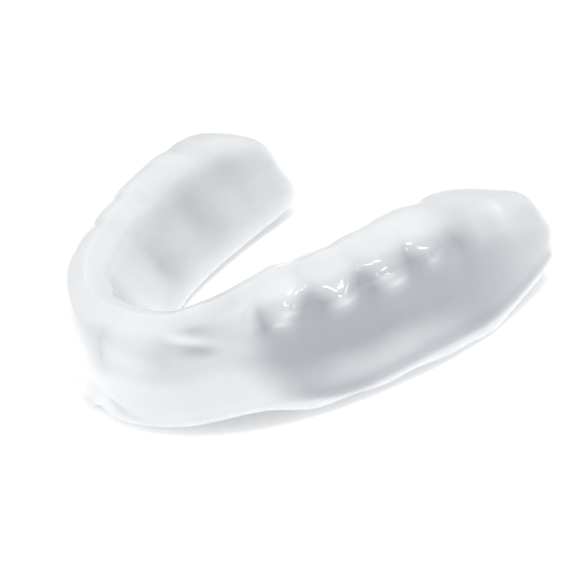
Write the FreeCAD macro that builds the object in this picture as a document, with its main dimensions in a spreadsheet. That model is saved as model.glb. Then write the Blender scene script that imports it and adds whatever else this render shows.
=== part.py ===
import FreeCAD, Part
import math
import os
import Sketcher

# Mouthguard for combat sports, made of two moulded layers that are bonded face to face.
# It stands on the rims of its trough with the bite face up. The origin is at the centre of the
# outline, on the plane that the rims rest on. +X is across the arch, -Y is the front (lip) side,
# and +Y points to the open heels at the last molars. All sizes are in millimetres.

# Plan curve of the arch: a cubic curve from the midline to the heel, mirrored in X.
ARCH = {
    "front_y": -21.63,       # the curve's place at the midline
    "arch_depth": 48.5,      # from the midline to the heel, along Y
    "half_span": 24.5,       # from the midline to the heel, along X
    "front_handle": 19.0,    # how flat the curve is across the front teeth
    "heel_handle": 22.0,     # how straight it runs past the molars
    "arch_bow": 1.0,         # how far it bows outward before the heel
}

# The layers' thicknesses and the details that are the same all round.
LAYERS = {
    "shell_buccal": 1.6,
    "shell_palatal": 1.1,
    "shell_bite": 1.6,
    "liner_buccal": 1.3,
    "liner_palatal": 1.0,
    "liner_bite": 1.4,
    "bond_line": 0.05,       # gap between the two layers
    "outer_corner": 3.0,     # rounding where the bite face turns into the walls
    "bond_corner": 1.1,
    "trough_corner": 0.6,
    "liner_lift": 0.4,       # the liner's rim stops this far above the shell's
    "sketch_drop": 4.0,      # the sections' sketch origin, below the rest plane
    "notch_radius": 2.4,     # notch in the lip rim, for the cord of the upper lip
    "notch_reach": 12.0,
    "trim_span": 90.0,
}

# Where each section stands along the arch (0 is the midline, 1 the heel's end), and its shape:
# width across the bite face, height, how far each wall flares out at the rim, and the rim's height.
# A rim below 0 is cut off flat at the rest plane.
COLUMNS = ("place", "width", "height", "buccal_flare", "palatal_flare", "rim")
STATIONS = {
    "midline": (0.0, 5.8, 15.0, 2.8, 5.4, -1.0),
    "lateral": (0.16, 6.4, 15.6, 2.9, 4.8, -1.0),
    "canine": (0.32, 7.4, 16.5, 3.0, 4.0, -1.0),
    "premolar": (0.48, 8.6, 17.3, 3.1, 3.4, -1.0),
    "first_molar": (0.66, 10.4, 17.0, 3.1, 2.9, -1.0),
    "last_molar": (0.84, 12.2, 15.6, 2.1, 2.4, -1.0),
    "heel": (0.955, 12.0, 13.0, 1.2, 2.0, 0.3),
    "heel_end": (1.0, 8.0, 11.0, 0.7, 1.2, 1.6),
}
# The hollows end inside the heel, so that a wall closes the trough there.
HOLLOW_ENDS = {
    "bond_end": (0.972, 12.0, 12.4, 1.2, 2.0, -1.0),
    "trough_end": (0.945, 12.2, 13.2, 1.3, 2.1, -1.0),
}

SHEET = "Sizes"


def make_sheet(doc):
    """The spreadsheet of driving dimensions, one named number in a row."""
    sheet = doc.addObject("Spreadsheet::Sheet", SHEET)
    sizes = dict(ARCH)
    sizes.update(LAYERS)
    for station, values in list(STATIONS.items()) + list(HOLLOW_ENDS.items()):
        for column, value in zip(COLUMNS, values):
            sizes[column + "_" + station] = value
    for row, (alias, value) in enumerate(sizes.items(), start=1):
        sheet.set("A%d" % row, alias.replace("_", " "))
        sheet.set("B%d" % row, str(value))
        sheet.setAlias("B%d" % row, alias)
    doc.recompute()
    return sheet


def cell(alias):
    return "<<%s>>.%s" % (SHEET, alias)


def arch_expressions(station):
    """The arch curve's point and direction at a station, as expressions over the sheet."""
    along = cell("place_" + station)
    back = "(1 - %s)" % along
    bowed = "(%s + %s)" % (cell("half_span"), cell("arch_bow"))
    waist = "(%s - %s)" % (cell("arch_depth"), cell("heel_handle"))
    terms = {"a": along, "b": back, "bowed": bowed, "waist": waist, "front": cell("front_handle"),
             "half": cell("half_span"), "depth": cell("arch_depth"), "start": cell("front_y"),
             "handle": cell("heel_handle"), "bow": cell("arch_bow")}
    across = "(3*{a}*{b}^2*{front} + 3*{a}^2*{b}*{bowed} + {a}^3*{half})".format(**terms)
    rearward = "({start} + 3*{a}^2*{b}*{waist} + {a}^3*{depth})".format(**terms)
    run_x = "(3*{b}^2*{front} + 6*{a}*{b}*({bowed} - {front}) - 3*{a}^2*{bow})".format(**terms)
    run_y = "(6*{a}*{b}*{waist} + 3*{a}^2*{handle})".format(**terms)
    heading = "atan2(%s; %s)" % (run_y, run_x)
    return across, rearward, heading


def section_expressions(station, walls):
    """A section's corner distances, less the walls taken off it: (buccal, palatal, bite)."""
    buccal, palatal, bite = walls
    half = cell("width_" + station) + " / 2"
    height = cell("height_" + station)
    drop = cell("sketch_drop")
    lips = {}
    for side, wall in (("buccal", buccal), ("palatal", palatal)):
        flare = cell(side + "_flare_" + station)
        lips[side + "_top"] = "%s - (%s) + %s * (%s) / %s" % (half, wall, flare, bite, height)
        lips[side + "_rim"] = "%s - (%s) + %s" % (half, wall, flare)
    lips["top"] = "%s + %s - (%s)" % (drop, height, bite)
    lips["rim"] = "%s + %s" % (drop, cell("rim_" + station))
    return lips


def place_section(sketch, body, station, side):
    """Stand a sketch upright across the arch at a station, its X axis pointing to the cheek."""
    across, rearward, heading = arch_expressions(station)
    turn = {"right": 1, "left": -1}[side]
    sketch.AttachmentSupport = (origin_plane(body, "XZ_Plane"), [""])
    sketch.MapMode = "FlatFace"
    upright = FreeCAD.Rotation(FreeCAD.Vector(0, 1, 0), -90)
    sketch.AttachmentOffset = FreeCAD.Placement(FreeCAD.Vector(), upright)
    sketch.setExpression("AttachmentOffset.Base.x", "%d * %s" % (turn, across))
    sketch.setExpression("AttachmentOffset.Base.y", "-" + cell("sketch_drop"))
    sketch.setExpression("AttachmentOffset.Base.z", "-1 * %s" % rearward)
    sketch.setExpression("AttachmentOffset.Rotation.Angle", "%d * %s - 90 deg" % (turn, heading))


def origin_plane(body, role):
    return [plane for plane in body.Origin.OriginFeatures if plane.Role == role][0]


def draw_section(sketch, sheet, station, walls, corner):
    """An upside-down trough outline: two flared walls, a bite face and rounded corners."""
    names = section_expressions(station, walls)
    guess = {key: sheet_value(sheet, text) for key, text in names.items()}
    radius = sheet.get(corner)
    point = FreeCAD.Vector
    cheek_rim = point(guess["buccal_rim"], guess["rim"])
    cheek_top = point(guess["buccal_top"], guess["top"])
    palate_top = point(-guess["palatal_top"], guess["top"])
    palate_rim = point(-guess["palatal_rim"], guess["rim"])
    wall_1, arc_1, face_1 = rounded_corner(cheek_rim, cheek_top, palate_top, radius)
    face_2, arc_2, wall_2 = rounded_corner(cheek_top, palate_top, palate_rim, radius)
    sketch.addGeometry([
        Part.LineSegment(cheek_rim, wall_1), arc_1, Part.LineSegment(face_1, face_2), arc_2,
        Part.LineSegment(wall_2, palate_rim), Part.LineSegment(palate_rim, cheek_rim)], False)
    sketch.addGeometry([Part.Point(cheek_top), Part.Point(palate_top)], True)
    start, end = 1, 2
    cheek_wall, cheek_arc, face, palate_arc, palate_wall, rim, cheek_tip, palate_tip = range(8)
    rules = [Sketcher.Constraint("Tangent", one, end, other, start) for one, other in
             ((cheek_wall, cheek_arc), (cheek_arc, face), (face, palate_arc), (palate_arc, palate_wall))]
    rules += [
        Sketcher.Constraint("Coincident", palate_wall, end, rim, start),
        Sketcher.Constraint("Coincident", rim, end, cheek_wall, start),
        Sketcher.Constraint("Horizontal", face),
        Sketcher.Constraint("Horizontal", rim),
        Sketcher.Constraint("Equal", cheek_arc, palate_arc),
        Sketcher.Constraint("PointOnObject", cheek_tip, start, cheek_wall),
        Sketcher.Constraint("PointOnObject", cheek_tip, start, face),
        Sketcher.Constraint("PointOnObject", palate_tip, start, palate_wall),
        Sketcher.Constraint("PointOnObject", palate_tip, start, face)]
    sketch.addConstraint(rules)
    origin = -1
    dimension(sketch, "corner", cell(corner), "Radius", cheek_arc, radius)
    dimension(sketch, "top", names["top"], "DistanceY", origin, 1, cheek_tip, start, guess["top"])
    dimension(sketch, "rim", names["rim"], "DistanceY", origin, 1, cheek_wall, start, guess["rim"])
    for key, geometry, mark in (("buccal_top", cheek_tip, start), ("buccal_rim", cheek_wall, start)):
        dimension(sketch, key, names[key], "DistanceX", origin, 1, geometry, mark, guess[key])
    for key, geometry, mark in (("palatal_top", palate_tip, start), ("palatal_rim", palate_wall, end)):
        dimension(sketch, key, names[key], "DistanceX", geometry, mark, origin, 1, guess[key])


def rounded_corner(before, corner, after, radius):
    """The arc that rounds a corner anticlockwise, between the points where it meets the sides."""
    to_before = (before - corner).normalize()
    to_after = (after - corner).normalize()
    half_angle = to_before.getAngle(to_after) / 2
    setback = radius / math.tan(half_angle)
    first = corner + to_before * setback
    last = corner + to_after * setback
    bisector = (to_before + to_after).normalize()
    centre = corner + bisector * (radius / math.sin(half_angle))
    start = math.atan2(first.y - centre.y, first.x - centre.x)
    stop = math.atan2(last.y - centre.y, last.x - centre.x)
    circle = Part.Circle(centre, FreeCAD.Vector(0, 0, 1), radius)
    return first, Part.ArcOfCircle(circle, start, stop), last


def dimension(sketch, name, expression, kind, *where):
    """A named dimension of a sketch, driven by the sheet."""
    index = sketch.addConstraint(Sketcher.Constraint(kind, *where))
    sketch.renameConstraint(index, name)
    sketch.setExpression("Constraints." + name, expression)


def sheet_value(sheet, expression):
    """The value of an expression over the sheet, for a sketch's starting shape."""
    probe = sheet.Document.addObject("App::FeaturePython", "Probe")
    probe.addProperty("App::PropertyFloat", "Reading")
    probe.setExpression("Reading", expression)
    probe.recompute()
    value = probe.Reading
    sheet.Document.removeObject(probe.Name)
    return value


def arch_loft(body, sheet, kind, name, stations, walls, corner):
    """A loft along the whole arch, from the left heel through the midline to the right heel."""
    order = [("left", station) for station in reversed(stations[1:])]
    order += [("right", station) for station in stations]
    sketches = []
    for side, station in order:
        title = "%s_%s_%s" % (name, side, station)
        sketch = body.newObject("Sketcher::SketchObject", title)
        place_section(sketch, body, station, side)
        draw_section(sketch, sheet, station, walls, corner)
        sketches.append(sketch)
    sheet.Document.recompute()
    loft = body.newObject(kind, name)
    loft.Profile = sketches[0]
    loft.Sections = sketches[1:]
    loft.Ruled = False
    for sketch in sketches:
        sketch.Visibility = False
    return loft


def trim_below(body, name, level):
    """Cut off everything below a level, which leaves the rims flat."""
    sketch = body.newObject("Sketcher::SketchObject", name + "_outline")
    sketch.AttachmentSupport = (origin_plane(body, "XY_Plane"), [""])
    sketch.MapMode = "FlatFace"
    sketch.setExpression("AttachmentOffset.Base.z", level)
    half = 1.0
    corners = [FreeCAD.Vector(x, y) for x, y in ((-half, -half), (half, -half), (half, half), (-half, half))]
    sketch.addGeometry([Part.LineSegment(corners[i], corners[(i + 1) % 4]) for i in range(4)], False)
    rules = [Sketcher.Constraint("Coincident", i, 2, (i + 1) % 4, 1) for i in range(4)]
    rules += [Sketcher.Constraint("Horizontal", 0), Sketcher.Constraint("Horizontal", 2),
              Sketcher.Constraint("Vertical", 1), Sketcher.Constraint("Vertical", 3),
              Sketcher.Constraint("Symmetric", 0, 1, 1, 2, -1, 1)]
    sketch.addConstraint(rules)
    dimension(sketch, "span_x", cell("trim_span"), "DistanceX", 0, 1, 0, 2, 2 * half)
    dimension(sketch, "span_y", cell("trim_span"), "DistanceY", 1, 1, 1, 2, 2 * half)
    pocket = body.newObject("PartDesign::Pocket", name)
    pocket.Profile = sketch
    pocket.Type = "ThroughAll"
    return pocket


def lip_notch(body, name):
    """The round notch at the midline of the lip rim, cut through the lip wall only."""
    sketch = body.newObject("Sketcher::SketchObject", name + "_outline")
    sketch.AttachmentSupport = (origin_plane(body, "XZ_Plane"), [""])
    sketch.MapMode = "FlatFace"
    sketch.setExpression("AttachmentOffset.Base.z", "-" + cell("front_y"))
    circle = Part.Circle(FreeCAD.Vector(0, 0, 0), FreeCAD.Vector(0, 0, 1), 1.0)
    sketch.addGeometry(circle, False)
    sketch.addConstraint(Sketcher.Constraint("Coincident", 0, 3, -1, 1))
    dimension(sketch, "radius", cell("notch_radius"), "Radius", 0, 1.0)
    pocket = body.newObject("PartDesign::Pocket", name)
    pocket.Profile = sketch
    pocket.Type = "Length"
    pocket.setExpression("Length", cell("notch_reach"))
    pocket.Reversed = True
    return pocket


def add_up(*aliases):
    return " + ".join(cell(alias) for alias in aliases)


def outer_shell(doc, sheet):
    """The tough outer layer: cheek and lip wall, bite face, palate wall and the closed heels."""
    body = doc.addObject("PartDesign::Body", "outer_shell")
    body.Label = "outer_shell"
    body.Placement = FreeCAD.Placement()
    outside = list(STATIONS)
    arch_loft(body, sheet, "PartDesign::AdditiveLoft", "shell_outside", outside,
              ("0", "0", "0"), "outer_corner")
    hollow = outside[:-2] + ["bond_end"]
    walls = (cell("shell_buccal"), cell("shell_palatal"), cell("shell_bite"))
    arch_loft(body, sheet, "PartDesign::SubtractiveLoft", "shell_hollow", hollow, walls, "bond_corner")
    trim_below(body, "shell_trim", "0")
    lip_notch(body, "shell_lip_notch")
    return body


def fit_liner(doc, sheet):
    """The softer inner layer, which lines the shell and takes the shape of the teeth."""
    body = doc.addObject("PartDesign::Body", "fit_liner")
    body.Label = "fit_liner"
    body.Placement = FreeCAD.Placement()
    arch = list(STATIONS)[:-2]
    bonded = (add_up("shell_buccal", "bond_line"), add_up("shell_palatal", "bond_line"),
              add_up("shell_bite", "bond_line"))
    arch_loft(body, sheet, "PartDesign::AdditiveLoft", "liner_outside", arch + ["bond_end"],
              bonded, "bond_corner")
    walls = (add_up("shell_buccal", "liner_buccal"), add_up("shell_palatal", "liner_palatal"),
             add_up("shell_bite", "liner_bite"))
    arch_loft(body, sheet, "PartDesign::SubtractiveLoft", "liner_trough", arch + ["trough_end"],
              walls, "trough_corner")
    trim_below(body, "liner_trim", cell("liner_lift"))
    lip_notch(body, "liner_lip_notch")
    return body


def check(doc, bodies):
    """Stop if anything in the document failed or a sub-part isn't a sound solid."""
    for item in doc.Objects:
        if "Invalid" in item.State or "Error" in item.State:
            raise RuntimeError("failed: %s %s" % (item.Name, item.State))
    for body in bodies:
        if body.Shape.isNull() or not body.Shape.isValid() or len(body.Shape.Solids) != 1:
            raise RuntimeError("not one sound solid: " + body.Label)


def main():
    doc = FreeCAD.newDocument("mouthguard")
    sheet = make_sheet(doc)
    bodies = [outer_shell(doc, sheet), fit_liner(doc, sheet)]
    doc.recompute()
    check(doc, bodies)
    os.makedirs("parts", exist_ok=True)
    for body in bodies:
        body.Shape.exportStep("parts/%s.step" % body.Label)
        box = body.Shape.BoundBox
        print("%s: x %.2f to %.2f, y %.2f to %.2f, z %.2f to %.2f, %.0f cubic mm" % (
            body.Label, box.XMin, box.XMax, box.YMin, box.YMax, box.ZMin, box.ZMax, body.Shape.Volume))


main()
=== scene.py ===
import math

import bmesh
import bpy
import numpy as np
from mathutils import Matrix, Vector

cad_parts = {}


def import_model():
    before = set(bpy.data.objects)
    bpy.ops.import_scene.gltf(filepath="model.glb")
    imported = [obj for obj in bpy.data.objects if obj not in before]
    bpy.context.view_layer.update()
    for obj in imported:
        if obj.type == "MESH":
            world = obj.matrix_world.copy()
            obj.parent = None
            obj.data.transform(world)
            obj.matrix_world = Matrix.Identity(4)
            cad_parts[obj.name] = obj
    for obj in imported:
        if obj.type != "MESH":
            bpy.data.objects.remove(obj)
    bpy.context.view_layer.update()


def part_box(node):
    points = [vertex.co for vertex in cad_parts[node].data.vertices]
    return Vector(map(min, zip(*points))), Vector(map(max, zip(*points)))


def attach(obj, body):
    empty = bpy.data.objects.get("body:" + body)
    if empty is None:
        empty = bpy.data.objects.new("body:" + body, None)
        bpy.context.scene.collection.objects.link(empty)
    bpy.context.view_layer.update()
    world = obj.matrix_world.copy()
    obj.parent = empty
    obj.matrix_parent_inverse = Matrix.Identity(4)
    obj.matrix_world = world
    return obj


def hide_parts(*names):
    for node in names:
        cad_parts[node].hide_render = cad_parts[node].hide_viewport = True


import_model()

# A boxing mouthguard of milky EVA. It stands on the rims of its trough with the bite
# face up, the front to -Y and the open heels to +Y. Both moulded layers are built here as closed
# skins with their tooth forms, rounded rims and notches, in the places of the plain CAD layers.

MM = 0.001
SHELL_LOW, SHELL_HIGH = [[axis / MM for axis in corner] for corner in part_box("outer_shell")]


# ---------------------------------------------------------------- curves

def smooth_through(knots, values, where):
    """A smooth curve through values at knots: cubics whose slopes come from the neighbours."""
    knots = np.asarray(knots, float)
    values = np.asarray(values, float)
    slopes = np.gradient(values, knots, axis=0)
    index = np.clip(np.searchsorted(knots, where) - 1, 0, len(knots) - 2)
    gap = knots[index + 1] - knots[index]
    x = (where - knots[index]) / gap
    shape = (-1,) + (1,) * (values.ndim - 1)
    x, gap = x.reshape(shape), gap.reshape(shape)
    return ((2 * x**3 - 3 * x**2 + 1) * values[index] + (x**3 - 2 * x**2 + x) * gap * slopes[index]
            + (3 * x**2 - 2 * x**3) * values[index + 1] + (x**3 - x**2) * gap * slopes[index + 1])


def bell(x, centre, width):
    return np.exp(-((x - centre) / width) ** 2)


def ramp(x, low, high):
    x = np.clip((x - low) / (high - low), 0, 1)
    return x * x * (3 - 2 * x)


# ---------------------------------------------------------------- the arch, in millimetres

FRONT_WALL = 5.5        # from the arch's centre line to the outermost rim, at the lip
HALF_SPAN = 0.753 * SHELL_HIGH[0]
FRONT_HANDLE = 0.586 * SHELL_HIGH[0]
HEEL_HANDLE = 22.0
ARCH_BOW = 1.0
FRONT_Y = SHELL_LOW[1] + FRONT_WALL
HEEL_Y = SHELL_HIGH[1] + 1.4    # the fitted heels reach a little past the CAD layer's
CURVE_POINTS = 400


def arch_curve():
    """Points, outward directions and lengths along the right half of the centre line."""
    ends = np.array([(0, FRONT_Y), (FRONT_HANDLE, FRONT_Y),
                     (HALF_SPAN + ARCH_BOW, HEEL_Y - HEEL_HANDLE), (HALF_SPAN, HEEL_Y)])
    u = np.linspace(0, 1, CURVE_POINTS)[:, None]
    points = ((1 - u)**3 * ends[0] + 3 * u * (1 - u)**2 * ends[1]
              + 3 * u**2 * (1 - u) * ends[2] + u**3 * ends[3])
    runs = np.gradient(points, axis=0)
    runs /= np.linalg.norm(runs, axis=1)[:, None]
    outward = np.stack([runs[:, 1], -runs[:, 0]], axis=1)
    lengths = np.r_[0, np.cumsum(np.linalg.norm(np.diff(points, axis=0), axis=1))]
    return points, outward, lengths


ARCH_POINTS, ARCH_OUTWARD, ARCH_LENGTHS = arch_curve()
ARM = ARCH_LENGTHS[-1]

# Section sizes from the left heel over the midline to the right heel, at these arc lengths.
REACHES = (0, 8.3, 16.8, 26.0, 37.3, 47.0, 54.5, ARM)
STATIONS = np.r_[-np.array(REACHES[:0:-1]), REACHES]
WIDTH = (5.8, 6.5, 7.9, 8.3, 9.8, 11.2, 12.3, 13.0)
HEIGHT = (10.4, 14.7, 16.6, 16.7, 16.0, 15.4, 14.9, 15.0,
          14.7, 16.8, 17.35, 17.9, 16.7, 14.5, 11.1)
BUCCAL_FLARE = (2.3, 2.1, 2.5, 3.15, 3.4, 2.8, 1.7, 0.9)
PALATAL_FLARE = (5.6, 4.85, 4.0, 3.35, 2.85, 2.5, 2.2, 2.0)
CREASE = (0.62, 0.6, 0.46, 0.36, 0.36, 0.5, 0.9, 1.2)
CREASE_LEVEL = (0.48, 0.46, 0.40, 0.33, 0.33, 0.35, 0.42, 0.48)
BUCCAL_RIM = (1.4, 1.9, 3.3, 1.25, 1.7, 1.3, 2.5, 4.0)
PALATAL_RIM = (1.0, 1.0, 1.2, 1.3, 1.5, 1.7, 2.2, 3.0)
CHEEK_ROUND = 3.2
PALATE_ROUND = 4.4
ROUND_LOSS = 0.2           # share of a rounding lost with each millimetre taken off the bite face
RIM_STEP = 1.1             # height of the nearly straight strip above a rim
PALATE_FOLD_LEVEL = 0.48
NARROWEST_OUTER = 0.7      # the bite face keeps at least this much on each side of the centre line
NARROWEST_INNER = 0.9
HEEL_ROUND = 4.6
HEEL_BOW = 0.35
HEEL_TIP = (0.2, 0.55)     # how high the left and the right heel reach furthest back
# The hand-trimmed cheek rim, with the notch for the lip's frenum and the corner beside it: signed
# arc, half length, rise and step out.
RIM_FORMS = (
    (-2.2, 1.3, 0.5, -0.2), (-5.6, 1.8, -0.8, 0.5), (21.5, 2.6, -0.5, 0.0), (26.8, 2.8, 0.62, 0.0),
    (33.4, 2.6, 0.28, 0.0), (39.0, 3.4, -0.35, 0.2), (45.0, 2.6, -0.4, 0.25))
LOWEST_RIM = 0.75


def along_arch(values, arc):
    """A size at signed arc lengths. Values for one arm hold for both."""
    if len(values) == len(REACHES):
        values = values[:0:-1] + values
    return smooth_through(STATIONS, values, np.ravel(arc)).reshape(np.shape(arc))


def to_space(arc, offset, height):
    """Points at signed arc lengths, offsets to the cheek side and heights."""
    reach = np.abs(arc)
    side = np.where(arc < 0, -1.0, 1.0)
    x, y = (np.interp(reach, ARCH_LENGTHS, ARCH_POINTS[:, axis]) for axis in (0, 1))
    out_x, out_y = (np.interp(reach, ARCH_LENGTHS, ARCH_OUTWARD[:, axis]) for axis in (0, 1))
    return np.stack([side * (x + out_x * offset), y + out_y * offset, height], axis=-1)


# ---------------------------------------------------------------- one moulded surface

# A surface's walls taken off the outside: cheek side, palate side, bite face, heel.
OUTSIDE = (0.0, 0.0, 0.0, 0.0)
BOND_SHELL = (1.6, 1.1, 1.6, 1.9)
BOND_LINER = (1.65, 1.15, 1.65, 1.95)
TROUGH = (2.8, 2.1, 3.0, 3.6)


def section_outline(arc, walls):
    """Marks of the trough section at each arc length: from the cheek rim over the bite face."""
    cheek, palate, bite, _ = walls
    height = along_arch(HEIGHT, arc)
    flare = along_arch(BUCCAL_FLARE, arc)
    inner_flare = along_arch(PALATAL_FLARE, arc)
    crease = along_arch(CREASE, arc)
    rim = along_arch(BUCCAL_RIM, arc)
    rim = rim + sum(rise * bell(arc, middle, length) for middle, length, rise, _ in RIM_FORMS)
    lip = flare + sum(out * bell(arc, middle, length) for middle, length, _, out in RIM_FORMS)
    rim = np.maximum(rim, LOWEST_RIM)
    inner_rim = along_arch(PALATAL_RIM, arc)
    half = along_arch(WIDTH, arc) / 2
    top = height - bite
    outer = np.maximum(half - cheek + flare * bite / height, NARROWEST_OUTER)
    inner = np.maximum(half - palate + inner_flare * bite / height, NARROWEST_INNER)
    room = 0.9 * (outer + inner) / 2
    left_over = 1 - ROUND_LOSS * bite
    corner = np.minimum(CHEEK_ROUND * left_over, np.minimum(room, 0.5 * (top - rim)))
    inner_corner = np.minimum(PALATE_ROUND * left_over, np.minimum(room, 0.5 * (top - inner_rim)))
    fold = np.minimum(rim + (height - rim) * along_arch(CREASE_LEVEL, arc),
                      0.5 * (rim + RIM_STEP + top - corner))
    inner_fold = np.minimum(inner_rim + (height - inner_rim) * PALATE_FOLD_LEVEL,
                            0.5 * (inner_rim + RIM_STEP + top - inner_corner))
    marks = [
        # cheek wall: rim, strip above it, fold, top
        (half + lip - cheek, rim),
        (half + lip * 0.88 - cheek, rim + RIM_STEP),
        (half + flare * crease - cheek, fold),
        (outer + flare * crease * 0.4, top - corner),
        # bite face: the middle and the end of each rounding
        (outer - corner * 0.3, top - corner * 0.3),
        (outer - corner, top),
        (inner_corner - inner, top),
        (inner_corner * 0.3 - inner, top - inner_corner * 0.3),
        # palate wall: top, fold, strip above the rim, rim
        (-inner, top - inner_corner),
        (palate - half - inner_flare * 0.5, inner_fold),
        (palate - half - inner_flare * 0.95, inner_rim + RIM_STEP),
        (palate - half - inner_flare, inner_rim)]
    return np.array([np.stack(np.broadcast_arrays(*mark), axis=-1) for mark in marks])


def outline_curve(marks, steps):
    """Smooth section curves through the marks, rim to rim, evenly spread along their length."""
    gaps = np.linalg.norm(np.diff(marks, axis=0), axis=-1).mean(axis=1)
    knots = np.r_[0, np.cumsum(gaps)]
    return smooth_through(knots, marks, np.linspace(0, knots[-1], steps))


def section_normals(curve):
    run = np.gradient(curve, axis=0)
    normal = np.stack([run[..., 1], -run[..., 0]], axis=-1)
    return normal / np.linalg.norm(normal, axis=-1, keepdims=True)


# ---------------------------------------------------------------- tooth forms

# Dents and swellings of the moulded walls, in this order: wall, arc length, level (0 at the rim,
# 1 at the bite face), half extent along the arch, half extent in level, slant towards the heel
# as it goes down, and how far it stands out. Arc lengths without a side hold for both arms.
CHEEK, PALATE, BITE = "cheek", "palate", "bite"
FORMS = (
    # front teeth
    (CHEEK, 4.3, 0.72, 3.0, 0.20, 0.0, 0.2),
    (CHEEK, 0.0, 0.74, 1.6, 0.22, 0.0, -0.2),
    (CHEEK, 8.4, 0.74, 1.6, 0.20, 0.0, -0.1),
    (CHEEK, 17.4, 0.74, 2.2, 0.28, 0.0, 0.32),
    # the cheek tips of the premolars and molars, with a pit before each
    (CHEEK, 19.2, 0.82, 0.9, 0.14, 0.0, -0.34),
    (CHEEK, 21.6, 0.76, 1.3, 0.11, 0.0, 0.46),
    (CHEEK, 25.2, 0.84, 1.2, 0.17, 0.0, -0.40),
    (CHEEK, 28.6, 0.74, 1.6, 0.11, 0.0, 0.46),
    (CHEEK, 31.6, 0.82, 1.2, 0.18, 0.0, -0.38),
    (CHEEK, 34.8, 0.70, 1.7, 0.11, 0.0, 0.46),
    (CHEEK, 37.6, 0.84, 0.9, 0.14, 0.0, -0.26),
    (CHEEK, 40.4, 0.74, 1.3, 0.11, 0.0, 0.30),
    (CHEEK, 44.0, 0.82, 0.95, 0.20, 2.0, -0.13),
    (CHEEK, 47.2, 0.80, 1.6, 0.13, 0.0, 0.26),
    (CHEEK, 51.0, 0.84, 3.2, 0.20, 0.0, 0.30),
    (CHEEK, 51.6, 0.93, 1.1, 0.13, -2.0, 0.30),
    # small ridges on those tips
    (CHEEK, 21.2, 0.73, 0.9, 0.026, 12.0, 0.32),
    (CHEEK, 22.4, 0.785, 0.8, 0.026, 12.0, 0.32),
    (CHEEK, 28.4, 0.73, 1.2, 0.026, 14.0, 0.32),
    (CHEEK, 33.6, 0.75, 1.8, 0.028, 14.0, 0.28),
    (CHEEK, 35.0, 0.68, 1.1, 0.026, 14.0, 0.32),
    (CHEEK, 40.0, 0.72, 0.6, 0.028, 10.0, 0.22),
    # palate side: the hollows between the molars' inner lobes
    (PALATE, 26.4, 0.52, 3.8, 0.30, 4.0, -0.50),
    (PALATE, 38.4, 0.62, 3.6, 0.32, 4.0, -0.42),
    (PALATE, 48.0, 0.72, 3.0, 0.26, 4.0, -0.22),
    # bite face: faint cross grooves between the teeth
    (BITE, 25.0, 1.0, 1.6, 0.40, 0.0, -0.22),
    (BITE, 31.4, 1.0, 1.6, 0.40, 0.0, -0.22),
    (BITE, 45.6, 1.0, 2.4, 0.40, 0.0, -0.34),
)
# The left cheek wall has softer forms, as its outline shows.
LEFT_SHARE = 0.5
# Forms of one side only, placed by signed arc length: beside the right canine two pressed dents
# with a ridge between them, a crease in the front flange, and dips and swellings of the bite face.
# They lean down to the right, by this share of a level for each millimetre.
RIGHT_LEAN = 0.029
RIGHT_FORMS = (
    (CHEEK, 11.4, 0.93, 2.4, 0.070, 0.0, -0.66),
    (CHEEK, 12.2, 0.72, 2.1, 0.060, 0.0, -0.38),
    (CHEEK, 11.2, 0.83, 2.2, 0.030, 0.0, 0.42),
    (CHEEK, 0.6, 0.13, 3.0, 0.035, 0.0, -0.25),
    (BITE, 15.4, 1.0, 2.8, 0.40, 0.0, -0.60),
    (BITE, 23.1, 1.0, 2.6, 0.40, 0.0, 0.68),
    (BITE, 27.2, 1.0, 2.6, 0.40, 0.0, 0.12),
    (BITE, 36.0, 1.0, 3.0, 0.40, 0.0, -0.24),
)
# Inside the trough, ridges stand in from the bite face and both walls between the tooth sockets.
SOCKET_EDGES = (0.0, 8.2, 14.6, 18.9, 25.0, 31.2, 43.7)
RIDGE_LENGTH = 0.8
RIDGES = ((CHEEK, 0.7, 0.3, -0.45), (PALATE, 0.7, 0.3, -0.45), (BITE, 0.9, 0.5, -0.9))
SOCKET_FORMS = tuple((wall, edge, height, RIDGE_LENGTH, tall, 0.0, depth)
                     for edge in SOCKET_EDGES for wall, height, tall, depth in RIDGES)


def relief(arc, level, normal, strength, sockets):
    """How far the surface stands out, as the sum of its dents and swellings."""
    cheek = np.clip(normal[..., 0], 0, 1) * np.where(arc < 0, LEFT_SHARE, 1.0)
    facing = {CHEEK: cheek, PALATE: np.clip(-normal[..., 0], 0, 1),
              BITE: np.clip(normal[..., 1], 0, 1) ** 2}
    out = np.zeros_like(level)
    groups = [(FORMS, np.abs(arc), strength, 0.0), (RIGHT_FORMS, arc, strength, RIGHT_LEAN)]
    if sockets:
        groups.append((SOCKET_FORMS, np.abs(arc), 1.0, 0.0))
    for forms, place, scale, lean in groups:
        for wall, middle, height, length, tall, slant, depth in forms:
            along = bell(place, middle + slant * (height - level), length)
            across = bell(level + lean * (place - middle), height, tall)
            out += scale * depth * facing[wall] * along * across
    return out


# ---------------------------------------------------------------- skins

ROWS = 420
HEEL_ROWS = 24
OUTER_STEPS = 96
INNER_STEPS = 84
RIM_STEPS = 7
RIM_DROP = 0.4          # how far a rounded rim hangs below its walls, as a share of its width
RIM_WIDEST = 1.6        # the width from which it hangs no lower
WELD_GAP = 0.002
HEEL_POWER = 2.4        # plan shape of the heels: 2 is round, more is squarer
HEEL_CORE = 0.25        # share of a heel's length that the middle of the bite face follows
# Tone of the rounded rims: pale, partly thick EVA and partly painted glow through the thin edge.
RIM_MILK_AND_GLOW = 0.75
CHEEK_RELIEF_SHADING = 0.9        # painted highlight and shade: how much paler a swelling, and darker a dent, is painted for each millimetre it stands out
PALATE_RELIEF_SHADING = 0.5


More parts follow.
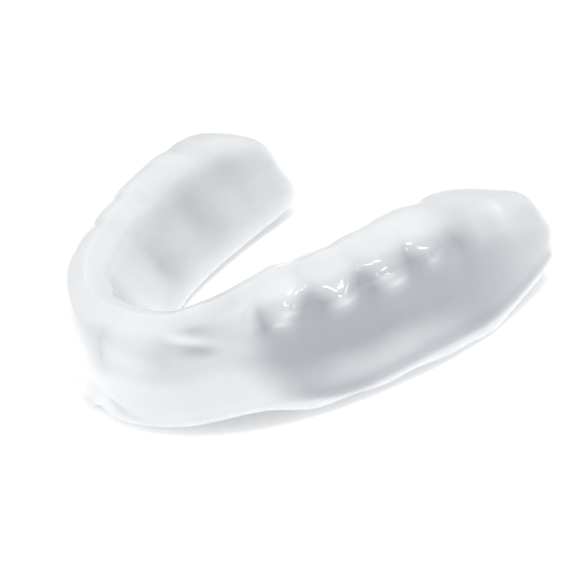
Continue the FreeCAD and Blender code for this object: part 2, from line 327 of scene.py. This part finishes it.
def arc_places(walls):
    """Signed arc lengths of the rows, close together where the heels round over."""
    end = ARM - walls[3]
    body = np.linspace(0, end - HEEL_ROUND, ROWS // 2 - HEEL_ROWS, endpoint=False)
    turn = end - HEEL_ROUND * (1 - np.sin(np.linspace(0, math.pi / 2, HEEL_ROWS + 1)))
    half = np.r_[body, turn]
    return np.r_[-half[:0:-1], half]


def surface(walls, steps, strength, sockets=False):
    """One side of a skin: its points and its tone values over section steps and rows. The tone
    values hold the paler thick EVA together with painted light and shade.
    """
    arc = arc_places(walls)
    curve = outline_curve(section_outline(arc, walls), steps)
    normal = section_normals(curve)
    rim = np.where(normal[..., 0] > 0, along_arch(BUCCAL_RIM, arc), along_arch(PALATAL_RIM, arc))
    level = (curve[..., 1] - rim) / (along_arch(HEIGHT, arc) - rim)
    stand = relief(arc, level, normal, strength, sockets)
    turn, shrink = heel_turn(arc, walls)
    # Painted highlights on swellings and painted shade in dents, on the walls but not on the bite
    # face.
    relief_shading = np.where(normal[..., 0] > 0, CHEEK_RELIEF_SHADING, PALATE_RELIEF_SHADING)
    relief_shading = relief_shading * (1 - np.clip(normal[..., 1], 0, 1) ** 4)
    # Tone values: the pale thick EVA together with painted light and shade, plus the painted
    # shading of the relief.
    milk_and_painted_light = meet(milkiness_and_painted_light(arc, level, normal) + relief_shading * stand, shrink)
    return wrap_heels(arc, curve + normal * stand[..., None], walls, turn, shrink), milk_and_painted_light


# Where the EVA is painted pale: partly the paler tone of thick EVA, partly painted light and shade.
# Reaches are millimetres from the midline, levels run from 0 at the rim to 1 at the bite face.
FRONT_FADE = (14.0, 20.5)       # reaches over which the pale front ends: thick EVA with painted key light
FRONT_SPREAD = (8.0, 0.45)      # how much further it reaches per level below this one
CROWN_FADE = (0.34, 0.56)       # levels over which the pale front drops, by a share, from gum to crowns
CROWN_DROP = 0.31
HEEL_FADE = 23.0                # length of arm over which the heels become paler, up to a share
HEEL_PALE = 0.5
TOP_LIGHT_TURN = (0.15, 0.75)        # upward part of the normal over which a wall is painted paler, as painted top light on the bite face
TOP_LIGHT_CUT_FRONT = 0.4          # shares by which that painted top light is less: at the front,
TOP_LIGHT_CUT_REAR = 0.42          # from the middle molar on, over these reaches,
REAR_FADE = (40, 48)
TOP_LIGHT_CUT_PREMOLAR = 0.2       # and at the right premolars: signed arc and half extent
PREMOLARS = (23, 5)
CHEEK_TURN = (-0.4, 0.4)        # outward part of the normal over which palate side becomes cheek
RIM_FADE = (0.01, 0.22, 0.055)  # levels: start, end on the palate side, end on the cheek side
RIM_GLOW = (0.7, 0.95)         # painted glow of the rims: palate side, cheek side
LINE_LEVEL = (0.10, 0.03)       # the painted shade line just above the cheek rim: level, half width
LINE_SHADE = 0.12
PALATE_LIGHT = (0.6, 0.9)       # palate wall, how pale with painted light: low and high on it
PALATE_FADE = (0.45, 0.95)
EDGE_FADE = (0.0, 0.10)         # the front flange's darker edge, painted shade
EDGE_SHADE = 0.25


def milkiness_and_painted_light(arc, level, normal):
    """How pale the EVA is painted: 1 where it is thick, at the rims, bite face, front and heels,
    and 0 where the cheek wall is thin over the trough. This is partly the paler tone of thick EVA
    and partly painted light and shade: painted top light on the bite face, painted key light on the
    front, painted glow at the rims, painted light on the palate wall and painted shade on the cheek
    wall."""
    reach = np.abs(arc)
    # Painted key light on the front, along with its thicker EVA.
    spread = FRONT_SPREAD[0] * np.clip(FRONT_SPREAD[1] - level, 0, 1)
    front = (1 - ramp(reach - spread, *FRONT_FADE)) * (1 - CROWN_DROP * ramp(level, *CROWN_FADE))
    # The heels are paler towards their ends.
    heel = HEEL_PALE * ramp(reach, ARM - HEEL_FADE, ARM)
    # Painted top light: surfaces facing up are painted paler, less so at the front, the rear and
    # the right premolars.
    top_light_cut = (TOP_LIGHT_CUT_FRONT * front + TOP_LIGHT_CUT_REAR * ramp(reach, *REAR_FADE)
                + TOP_LIGHT_CUT_PREMOLAR * bell(arc, *PREMOLARS))
    face = ramp(normal[..., 1], *TOP_LIGHT_TURN) * (1 - top_light_cut)
    cheek = ramp(normal[..., 0], *CHEEK_TURN)
    # Painted glow at the rims.
    start, palate_end, cheek_end = RIM_FADE
    rim = ((1 - ramp(level, start, palate_end + (cheek_end - palate_end) * cheek))
           * (RIM_GLOW[0] + (RIM_GLOW[1] - RIM_GLOW[0]) * cheek))
    # Painted light on the palate wall.
    low, high = PALATE_LIGHT
    side = (1 - cheek) * (low + (high - low) * ramp(level, *PALATE_FADE))
    # Painted shade: a darker line just above the cheek rim.
    line = LINE_SHADE * cheek * bell(level, *LINE_LEVEL) * (1 - front)
    # Painted shade at the front flange's lower edge.
    edge = EDGE_SHADE * front * (1 - ramp(level, *EDGE_FADE))
    return 1 - (1 - side) * (1 - front) * (1 - heel) * (1 - face) * (1 - rim) - line - edge


def heel_turn(arc, walls):
    """How far each row has turned round its heel, 0 to 1, and the share of width it has left."""
    start = ARM - walls[3] - HEEL_ROUND
    turn = np.clip((np.abs(arc) - start) / HEEL_ROUND, 0, 1)
    return turn, (1 - turn**HEEL_POWER) ** (1 / HEEL_POWER)


def meet(values, shrink):
    """Values that become alike on both walls where these meet behind the heel."""
    return values * shrink + (values + values[::-1]) / 2 * (1 - shrink)


def wrap_heels(arc, curve, walls, turn, shrink):
    """Points of a surface whose walls run round both heels and meet on one line behind."""
    start = ARM - walls[3] - HEEL_ROUND
    offset, height = curve[..., 0], curve[..., 1]
    wall = along_arch(WIDTH, arc) / 2 - walls[0]
    level = height / along_arch(HEIGHT, arc)
    tip = np.where(arc < 0, *HEEL_TIP)
    lean = (level - tip) / np.maximum(tip, 1 - tip)
    carry = HEEL_CORE + (1 - HEEL_CORE) * np.minimum(np.abs(offset) / wall, 1)
    carry = carry * (1 - HEEL_BOW * lean**2)
    carry = meet(carry, shrink)
    height = meet(height, shrink)
    reach = np.where(turn > 0, start + HEEL_ROUND * turn * carry, np.abs(arc))
    place = np.where(arc < 0, -reach, reach)
    height = height * along_arch(HEIGHT, place) / along_arch(HEIGHT, arc)
    return to_space(place, offset * shrink, height)


def skin(name, outer_walls, inner_walls, outer_strength, inner_strength, sockets=False):
    """A closed layer: outside, rounded palate rim, inside and rounded cheek rim, row by row."""
    outside, milk_and_light_out = surface(outer_walls, OUTER_STEPS, outer_strength)
    inside, milk_and_light_in = surface(inner_walls, INNER_STEPS, inner_strength, sockets)
    palate_rim = rim_bridge(outside[-1], inside[-1])
    cheek_rim = rim_bridge(inside[0], outside[0])
    loop = np.concatenate([outside, palate_rim, inside[::-1], cheek_rim])
    # The rounded rims are painted pale, with painted glow.
    rim_milk_and_glow = np.full((RIM_STEPS, loop.shape[1]), RIM_MILK_AND_GLOW)
    milk_and_painted_light = np.concatenate([milk_and_light_out, rim_milk_and_glow, milk_and_light_in[::-1], rim_milk_and_glow])
    return closed_mesh(name, loop * MM, milk_and_painted_light)


def rim_bridge(start, stop):
    """Rows of points that round a rim over, from one wall's edge to the other's."""
    turn = np.linspace(0, math.pi, RIM_STEPS + 2)[1:-1, None, None]
    blend = (1 - np.cos(turn)) / 2
    points = start[None] * (1 - blend) + stop[None] * blend
    width = np.minimum(np.linalg.norm(start - stop, axis=-1), RIM_WIDEST)
    points[..., 2] -= RIM_DROP * width * np.sin(turn[..., 0])
    return points


def closed_mesh(name, loop, milk_and_painted_light):
    """A mesh from closed loops of points, one loop a row, zipped shut at both ends."""
    around, rows = loop.shape[:2]
    points = loop.transpose(1, 0, 2).reshape(-1, 3)
    here = np.arange(around)
    there = (here + 1) % around
    faces = []
    for row in range(rows - 1):
        a, b = row * around, (row + 1) * around
        faces.append(np.stack([a + here, a + there, b + there, b + here], axis=1))
    mesh = bpy.data.meshes.new(name)
    mesh.from_pydata(points.tolist(), [], np.concatenate(faces).tolist())
    # The tone values, with their painted light and shade, are kept on the mesh.
    mesh.attributes.new("milk_and_painted_light", "FLOAT", "POINT").data.foreach_set("value", milk_and_painted_light.T.ravel())
    piece = bpy.data.objects.new(name, mesh)
    bpy.context.scene.collection.objects.link(piece)
    weld(mesh)
    mesh.shade_smooth()
    return piece


def weld(mesh):
    """Join the points that meet behind the heels."""
    shape = bmesh.new()
    shape.from_mesh(mesh)
    bmesh.ops.remove_doubles(shape, verts=shape.verts, dist=WELD_GAP * MM)
    bmesh.ops.recalc_face_normals(shape, faces=shape.faces)
    shape.to_mesh(mesh)
    shape.free()


# ---------------------------------------------------------------- materials

# Tone ends of the EVA. The thin colours are painted shade, as dark as the cheek wall over the
# trough looks in shade. The solid colours are the pale tone of thick EVA together with painted
# light.
SOLID_LIT_SHELL, THIN_SHADED_SHELL = (0.815, 0.835, 0.855), (0.42, 0.443, 0.475)
SOLID_LIT_LINER, THIN_SHADED_LINER = (0.74, 0.765, 0.79), (0.60, 0.625, 0.655)
SHELL_ROUGHNESS = 0.3
LINER_ROUGHNESS = 0.35
SCATTER_DEPTH = 3 * MM
SCATTER_COLOURS = (1.08, 1.0, 0.96)
CLOUDS_PER_METRE = 130
GRAINS_PER_METRE = 500
UNEVENNESS = 0.09


def fill(node, **values):
    """Set a node's inputs. An underscore in a name stands for a space."""
    for name, value in values.items():
        node.inputs[name.replace("_", " ")].default_value = value


def eva(name, solid, thin, roughness):
    """Milky EVA: light scatters inside it and it is paler where it is thick, with a slight
    unevenness of tone, a fine skin and a clear gloss. Its colour also carries painted light and
    shade: the thin colour is painted shade, and the solid colour is painted light as well as thick
    EVA."""
    material = bpy.data.materials.new(name)
    material.use_nodes = True
    nodes, links = material.node_tree.nodes, material.node_tree.links
    shader = nodes["Principled BSDF"]
    place = nodes.new("ShaderNodeTexCoord")
    clouds = nodes.new("ShaderNodeTexNoise")
    fill(clouds, Scale=CLOUDS_PER_METRE, Detail=4)
    links.new(place.outputs["Object"], clouds.inputs["Vector"])
    # The mesh's tone values, which carry painted light and shade.
    milk_and_painted_light = nodes.new("ShaderNodeAttribute")
    milk_and_painted_light.attribute_name = "milk_and_painted_light"
    uneven = nodes.new("ShaderNodeMapRange")
    fill(uneven, From_Min=0.25, From_Max=0.75, To_Min=-UNEVENNESS, To_Max=UNEVENNESS)
    links.new(clouds.outputs["Fac"], uneven.inputs["Value"])
    total = nodes.new("ShaderNodeMath")
    total.operation = "ADD"
    links.new(milk_and_painted_light.outputs["Fac"], total.inputs[0])
    links.new(uneven.outputs["Result"], total.inputs[1])
    # The tone ramp: painted shade at the thin end, thick EVA and painted light at the solid end.
    tone = nodes.new("ShaderNodeValToRGB")
    for end, colour in zip(tone.color_ramp.elements, (thin, solid)):
        end.color = (*colour, 1)
    links.new(total.outputs["Value"], tone.inputs["Fac"])
    links.new(tone.outputs["Color"], shader.inputs["Base Color"])
    gloss = nodes.new("ShaderNodeMapRange")
    fill(gloss, To_Min=roughness * 0.85, To_Max=roughness * 1.2)
    links.new(clouds.outputs["Fac"], gloss.inputs["Value"])
    links.new(gloss.outputs["Result"], shader.inputs["Roughness"])
    grain = nodes.new("ShaderNodeTexNoise")
    fill(grain, Scale=GRAINS_PER_METRE)
    bump = nodes.new("ShaderNodeBump")
    fill(bump, Strength=0.05, Distance=0.3 * MM)
    links.new(place.outputs["Object"], grain.inputs["Vector"])
    links.new(grain.outputs["Fac"], bump.inputs["Height"])
    links.new(bump.outputs["Normal"], shader.inputs["Normal"])
    fill(shader, Subsurface_Weight=1.0, Subsurface_Radius=SCATTER_COLOURS,
         Subsurface_Scale=SCATTER_DEPTH, IOR=1.48, Coat_Weight=1.0, Coat_Roughness=0.06,
         Sheen_Weight=0.25, Sheen_Roughness=0.35)
    return material


# ---------------------------------------------------------------- stage

VIEW_TURN = math.radians(52.2)
VIEW_RISE = math.radians(28.05)
VIEW_ROLL = math.radians(14.88)
VIEW_DISTANCE = 193.9 * MM
AIM_HEIGHT = 8 * MM
LENS = 87.4
SENSOR = 36
LENS_SHIFT = (0.045, -0.055)
SKY_STRENGTH = 0.6
FLOOR_HALF = 3.0
FLOOR_GREY = 0.9
FLOOR_GLOW = 0.33
MIDDLE = (0, 0, 0)
# Rectangular lamps: name, place, aim, size, power, and whether it only makes highlights.
LAMPS = (
    ("key", (-0.45, -0.65, 0.5), MIDDLE, (0.5, 0.5), 1.3, False),
    ("top", (0.12, 0.1, 0.7), MIDDLE, (0.5, 0.5), 2.9, False),
    ("card", (0.6, -0.18, 0.16), (0, 0, 0.01), (0.56, 0.3), 0.45, True),
    ("spark", (0.416, -0.051, 0.28), MIDDLE, (0.11, 0.022), 0.16, True),
    ("spark_low", (0.391, -0.174, 0.258), MIDDLE, (0.1, 0.02), 0.08, True),
    ("spark_back", (0.46, 0.056, 0.2), MIDDLE, (0.1, 0.02), 0.07, True),
)


def camera():
    """The camera at the pictured view: right front, from above, rolled to the left."""
    centre = Vector((0, 0.5 * (FRONT_Y + HEEL_Y) * MM, AIM_HEIGHT))
    back = Vector((math.sin(VIEW_TURN) * math.cos(VIEW_RISE),
                   -math.cos(VIEW_TURN) * math.cos(VIEW_RISE), math.sin(VIEW_RISE)))
    right = Vector((math.cos(VIEW_TURN), math.sin(VIEW_TURN), 0))
    up = back.cross(right)
    across = right * math.cos(VIEW_ROLL) - up * math.sin(VIEW_ROLL)
    upward = right * math.sin(VIEW_ROLL) + up * math.cos(VIEW_ROLL)
    data = bpy.data.cameras.new("camera")
    data.lens = LENS
    data.sensor_width = SENSOR
    data.shift_x, data.shift_y = LENS_SHIFT
    data.clip_start = 0.01
    data.clip_end = 20
    rig = bpy.data.objects.new("camera", data)
    turn = Matrix((across, upward, back)).transposed()
    rig.matrix_world = Matrix.Translation(centre + back * VIEW_DISTANCE) @ turn.to_4x4()
    bpy.context.scene.collection.objects.link(rig)
    bpy.context.scene.camera = rig


def soft_light(name, place, aim, size, power, shine):
    """A rectangular lamp that only makes highlights if shine is set, and otherwise makes none."""
    data = bpy.data.lights.new(name, "AREA")
    data.shape = "RECTANGLE"
    data.size, data.size_y = size
    data.energy = power
    lamp = bpy.data.objects.new(name, data)
    lamp.location = place
    lamp.rotation_euler = (Vector(aim) - Vector(place)).to_track_quat("-Z", "Y").to_euler()
    lamp.visible_glossy = shine
    lamp.visible_diffuse = not shine
    bpy.context.scene.collection.objects.link(lamp)


def floor():
    """Plain pale paper, faintly lit from below as on a light table."""
    mesh = bpy.data.meshes.new("floor")
    corners = [(x * FLOOR_HALF, y * FLOOR_HALF, 0) for x, y in ((-1, -1), (1, -1), (1, 1), (-1, 1))]
    mesh.from_pydata(corners, [], [(0, 1, 2, 3)])
    piece = bpy.data.objects.new("floor", mesh)
    material = bpy.data.materials.new("floor_paper")
    material.use_nodes = True
    fill(material.node_tree.nodes["Principled BSDF"], Base_Color=(FLOOR_GREY,) * 3 + (1,),
         Roughness=0.9, Emission_Color=(1, 1, 1, 1), Emission_Strength=FLOOR_GLOW)
    mesh.materials.append(material)
    bpy.context.scene.collection.objects.link(piece)


def world():
    sky = bpy.data.worlds.new("studio")
    sky.use_nodes = True
    fill(sky.node_tree.nodes["Background"], Color=(1, 1, 1, 1), Strength=SKY_STRENGTH)
    bpy.context.scene.world = sky


def build():
    """Both layers. The tooth forms are at full strength outside and softer on the inner faces."""
    shell = skin("outer_layer", OUTSIDE, BOND_SHELL, 1.0, 0.4)
    shell.data.materials.append(eva("milky_shell", SOLID_LIT_SHELL, THIN_SHADED_SHELL, SHELL_ROUGHNESS))
    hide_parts("outer_shell")
    liner = skin("inner_layer", BOND_LINER, TROUGH, 0.4, 0.6, sockets=True)
    liner.data.materials.append(eva("milky_liner", SOLID_LIT_LINER, THIN_SHADED_LINER, LINER_ROUGHNESS))
    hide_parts("fit_liner")
    for piece in (shell, liner):
        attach(piece, "root")


build()
world()
floor()
for lamp in LAMPS:
    soft_light(*lamp)
camera()
bpy.context.scene.view_settings.view_transform = "Standard"
